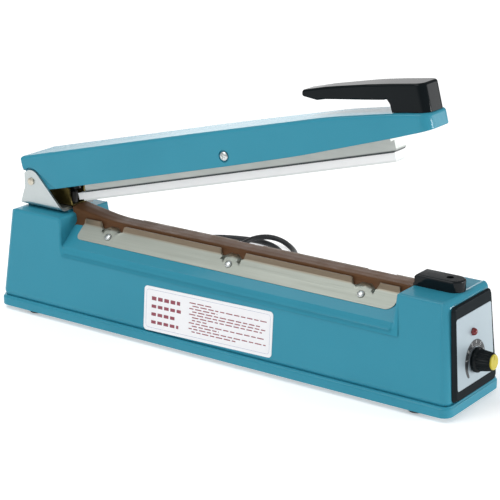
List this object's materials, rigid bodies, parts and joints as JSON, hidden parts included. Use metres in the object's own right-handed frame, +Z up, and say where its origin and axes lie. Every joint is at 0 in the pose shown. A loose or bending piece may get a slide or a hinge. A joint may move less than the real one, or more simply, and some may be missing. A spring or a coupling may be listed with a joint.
{
  "type": "impulse heat sealer",
  "caption": "Hand impulse heat sealer: cast casing with a clamped sealing bed, dial end, mains lead, and a sprung arm with a press bar and handle.",
  "frame": {"origin": "on the surface that the feet stand on, under the middle of the object's length and width, lead left out", "axes": "+X from the hinge end towards the dial and handle end, +Y towards the side the mains lead leaves, +Z up"},
  "size_m": [0.4496, 0.2745, 0.2364],
  "materials": {
    "blue_paint": "semi-gloss light blue stoving paint",
    "zinc_steel": "bright zinc plate",
    "yellow_zinc": "yellow chromate over zinc",
    "spring_steel": "oiled spring steel",
    "black_steel": "blackened steel",
    "rubber": "matt black rubber",
    "cord_black": "black cable sheath, slight sheen",
    "black_plastic": "fine-textured black moulding",
    "gloss_black": "glossy black moulding",
    "board_tan": "insulating board",
    "ribbon_metal": "nickel-chrome ribbon",
    "brass": "bright brass",
    "nylon": "natural nylon",
    "brown_sheet": "brown coated glass cloth, dull sheen",
    "aluminium": "plain mill-finish aluminium",
    "panel_silver": "satin silver plate with a printed scale",
    "label_white": "white sticker",
    "red_lens": "clear red lens",
    "green_plastic": "green moulding",
    "yellow_plastic": "yellow moulding",
    "board_green": "green circuit board",
    "parts_dark": "moulded component cases",
    "core_iron": "varnished iron laminations",
    "coil_amber": "taped winding",
    "wire_brown": "brown wire insulation",
    "wire_red": "red wire insulation",
    "silicone_white": "white silicone rubber"
  },
  "bodies": {
    "base": {"base_casing": "blue_paint", "bottom_plate": "zinc_steel", "foot_hinge_front": "rubber", "foot_hinge_back": "rubber", "foot_dial_front": "rubber", "foot_dial_back": "rubber", "foot_screws": "zinc_steel", "hinge_bracket": "zinc_steel", "spring_bracket": "yellow_zinc", "bracket_screws": "zinc_steel", "hinge_pin": "zinc_steel", "pin_clip": "spring_steel", "return_spring": "spring_steel", "bed_board": "board_tan", "heating_ribbon": "ribbon_metal", "ribbon_tensioner": "brass", "tension_spring": "spring_steel", "terminal_base": "black_plastic", "terminal_cover": "black_plastic", "cover_screw": "black_steel", "ptfe_sheet": "brown_sheet", "clamp_plate_front": "aluminium", "clamp_plate_back": "aluminium", "plate_screws": "zinc_steel", "panel_frame": "black_plastic", "panel_plate": "panel_silver", "lamp_lens": "red_lens", "lamp_body": "nylon", "timer_pot": "green_plastic", "pot_nut": "zinc_steel", "circuit_board": "board_green", "board_parts": "parts_dark", "transformer_core": "core_iron", "transformer_coil": "coil_amber", "transformer_screws": "zinc_steel", "microswitch": "black_plastic", "switch_screws": "zinc_steel", "wire_harness": "wire_brown", "ribbon_wires": "wire_red", "cord_gland": "cord_black", "power_cord": "cord_black", "cord_coil": "cord_black", "cord_tie": "black_plastic", "plug_body": "black_plastic", "plug_pins": "brass", "rating_label": "label_white"},
    "arm": {"arm_casing": "blue_paint", "press_bar": "aluminium", "silicone_strip": "silicone_white", "arm_side_screws": "zinc_steel", "striker_bolt": "black_steel", "handle": "gloss_black", "handle_screws": "zinc_steel", "hinge_bush_front": "nylon", "hinge_bush_back": "nylon"},
    "dial": {"timer_shaft": "zinc_steel", "knob": "gloss_black", "knob_cap": "yellow_plastic"},
    "pushrod": {"switch_pushrod": "black_plastic"},
    "lever": {"switch_lever": "zinc_steel"}
  },
  "joints": [
    {"name": "arm_hinge", "type": "hinge", "parent": "base", "child": "arm", "pos_m": [-0.19962, 0, 0.1092], "axis": [0, 1, 0], "range_deg": [0, 14.94], "stiffness_Nm_per_rad": 3.2, "springref_deg": -28.65, "deforming": ["return_spring"]},
    {"name": "dial_turn", "type": "hinge", "parent": "base", "child": "dial", "pos_m": [0.20423, -0.0005, 0.0372], "axis": [0.997, 0, 0.0778], "range_deg": [-135, 135]},
    {"name": "pushrod_slide", "type": "slide", "parent": "base", "child": "pushrod", "axis": [0, 0, -1], "range_m": [0, 0.0065]},
    {"name": "lever_press", "type": "hinge", "parent": "base", "child": "lever", "pos_m": [-0.20262, 0, 0.0651], "axis": [0, 1, 0], "range_deg": [0, 11.2]}
  ],
  "couplings": [
    {"joint": "pushrod_slide", "follows": "arm_hinge", "m_per_rad": 0.0249},
    {"joint": "lever_press", "follows": "arm_hinge", "ratio": 0.7495}
  ]
}
